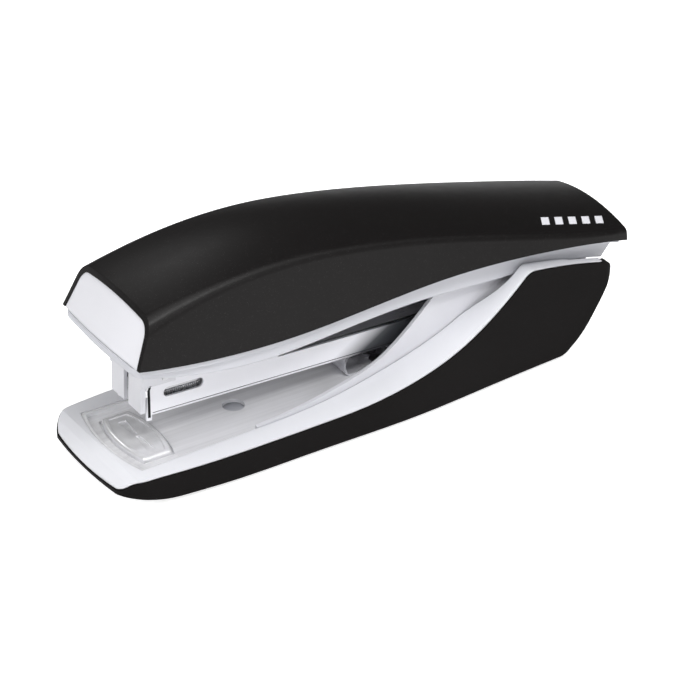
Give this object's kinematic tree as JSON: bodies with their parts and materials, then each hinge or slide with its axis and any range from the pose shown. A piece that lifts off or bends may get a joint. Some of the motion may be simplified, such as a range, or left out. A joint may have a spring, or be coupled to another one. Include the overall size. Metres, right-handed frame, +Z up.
{
  "type": "desk stapler",
  "caption": "Top-loading desk stapler: black sprung head over a white magazine, driver and sprung pusher, on a base with a steel tray and chromed anvil.",
  "frame": {"origin": "middle of the footprint, on the desk", "axes": "+X from the nose to the hinge end, +Y across, +Z up"},
  "size_m": [0.1494, 0.0418, 0.0556],
  "materials": {
    "black_shell": "satin, fine metallic fleck",
    "white_shell": "semi-gloss",
    "black_moulding": "matt",
    "tray_steel": "satin nickel",
    "anvil_chrome": "polished",
    "white_enamel": "semi-gloss",
    "plain_steel": "zinc plated",
    "blade_steel": "ground",
    "spring_steel": "drawn",
    "foot_rubber": "matt"
  },
  "bodies": {
    "base": {"base_skin": "black_shell", "base_frame": "white_shell", "bottom_plate": "black_moulding", "base_plate": "tray_steel", "anvil_plate": "anvil_chrome", "pivot_bracket": "white_enamel", "bracket_rivets": "plain_steel", "hinge_pin": "plain_steel", "pin_clip": "plain_steel", "rubber_feet": "foot_rubber", "base_screws": "plain_steel", "lift_spring": "spring_steel", "lift_rivets": "plain_steel"},
    "magazine": {"magazine_channel": "white_enamel", "staple_rail": "plain_steel", "front_plate": "white_enamel", "plate_rivets": "plain_steel", "spring_anchor": "plain_steel", "rear_stop": "black_moulding", "pusher_springs": "spring_steel", "head_spring": "spring_steel"},
    "pusher": {"pusher": "plain_steel"},
    "head": {"top_cover": "black_shell", "nose_cap": "white_shell", "head_frame": "white_shell", "driver_arm": "plain_steel", "driver_blade": "blade_steel", "driver_rivets": "plain_steel", "arm_screws": "plain_steel"}
  },
  "joints": [
    {"name": "magazine_pivot", "type": "hinge", "parent": "base", "child": "magazine", "pos_m": [0.061, 0, 0.025], "axis": [0, -1, 0], "range_deg": [0, 3.7], "stiffness_Nm_per_rad": 0.5, "springref_deg": -14.32, "deforming": ["lift_spring"]},
    {"name": "head_pivot", "type": "hinge", "parent": "magazine", "child": "head", "pos_m": [0.061, 0, 0.025], "axis": [0, -1, 0], "range_deg": [-42, 3.1], "stiffness_Nm_per_rad": 0.4, "springref_deg": -5.16, "deforming": ["head_spring"]},
    {"name": "pusher_slide", "type": "slide", "parent": "magazine", "child": "pusher", "axis": [0.9992, 0, -0.0408], "range_m": [0, 0.05], "stiffness_N_per_m": 25, "springref_m": -0.06, "deforming": ["pusher_springs"]}
  ]
}
